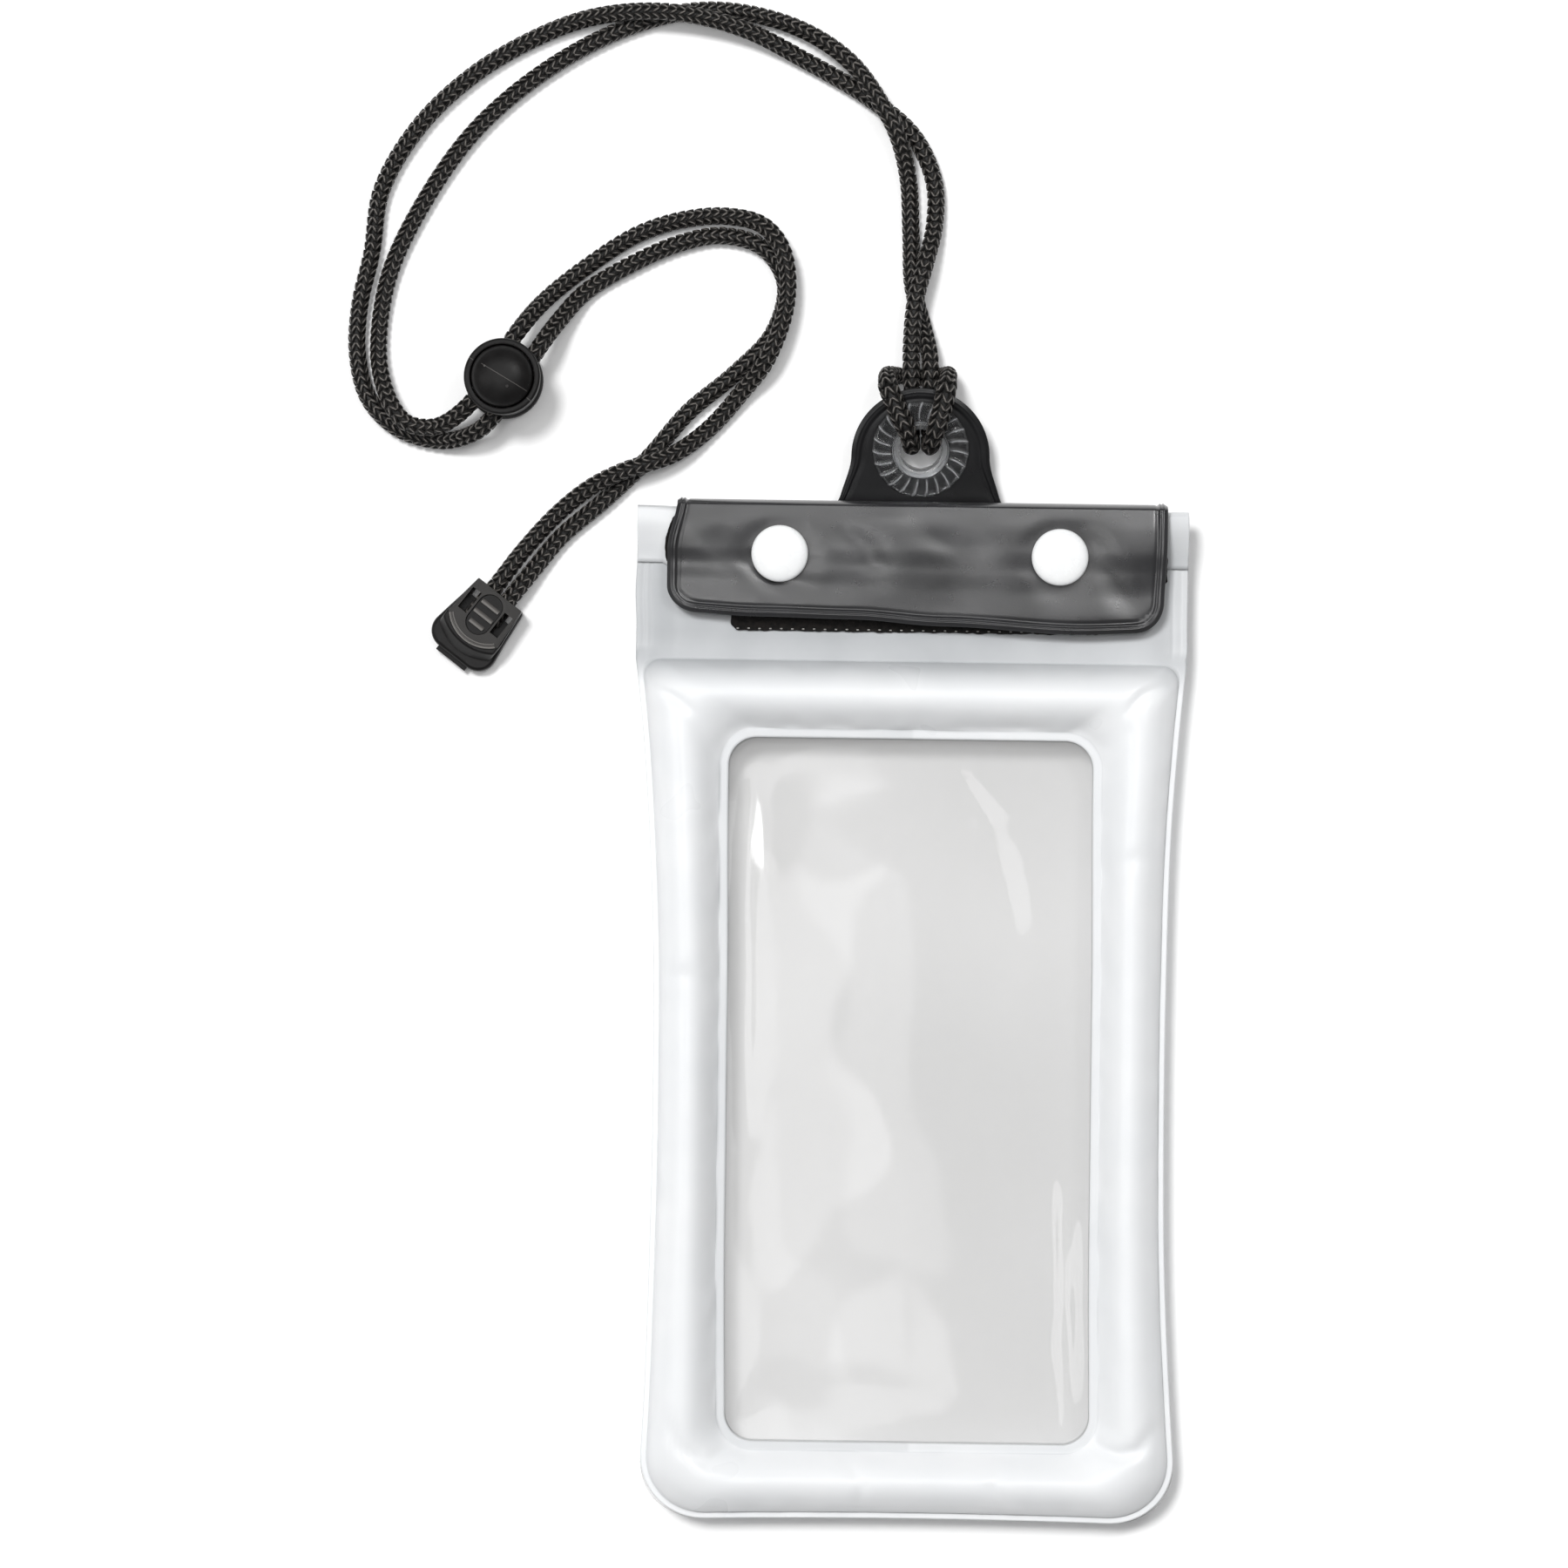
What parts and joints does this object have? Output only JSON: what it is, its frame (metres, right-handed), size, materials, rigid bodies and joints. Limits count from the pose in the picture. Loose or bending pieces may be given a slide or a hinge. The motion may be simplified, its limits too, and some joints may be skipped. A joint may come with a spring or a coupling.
{
  "type": "floating waterproof pouch",
  "caption": "Flat floating waterproof pouch for a phone, with inflated clear cushions, a snap-down flap, a hanging tab and a neck cord with a sprung cord lock.",
  "frame": {"origin": "on the surface the pouch lies on, under the middle of the pouch body and its hanging tab", "axes": "+X across the pouch to its right seen from the front, +Y up the pouch towards the hanging tab, +Z out of the front window"},
  "size_m": [0.1954, 0.3488, 0.0201],
  "materials": {
    "skin": "satin pale translucent film",
    "film": "clear film",
    "pvc": "satin soft sheet",
    "tape": "hook and loop pile",
    "clear": "clear glossy",
    "white": "glossy",
    "cord": "knitted polyester",
    "black": "satin moulded",
    "steel": "drawn wire"
  },
  "bodies": {
    "pouch": {"front_skin": "skin", "rear_skin": "skin", "front_film": "film", "rear_film": "film", "zip_rib_lower": "film", "zip_groove_lower": "film", "zip_rib_upper": "film", "zip_groove_upper": "film", "closure_flap": "pvc", "hem_loop_tape": "tape", "flap_hook_tape": "tape", "body_loop_tape": "tape", "flap_hook_tape_lower": "tape", "snap_cap_left": "white", "snap_socket_left": "white", "snap_stud_left": "white", "snap_back_left": "white", "snap_cap_right": "white", "snap_socket_right": "white", "snap_stud_right": "white", "snap_back_right": "white", "hang_tab": "pvc", "eyelet_body": "clear", "eyelet_washer": "clear", "lanyard_cord": "cord", "lock_barrel": "black", "lock_spring": "steel", "cord_end_base": "black", "cord_end_cover": "black"},
    "plunger": {"lock_plunger": "black"}
  },
  "joints": [
    {"name": "lock_press", "type": "slide", "parent": "pouch", "child": "plunger", "axis": [0, 0, -1], "range_m": [0, 0.0025], "stiffness_N_per_m": 600, "springref_m": -0.001, "deforming": ["lock_spring"]}
  ]
}
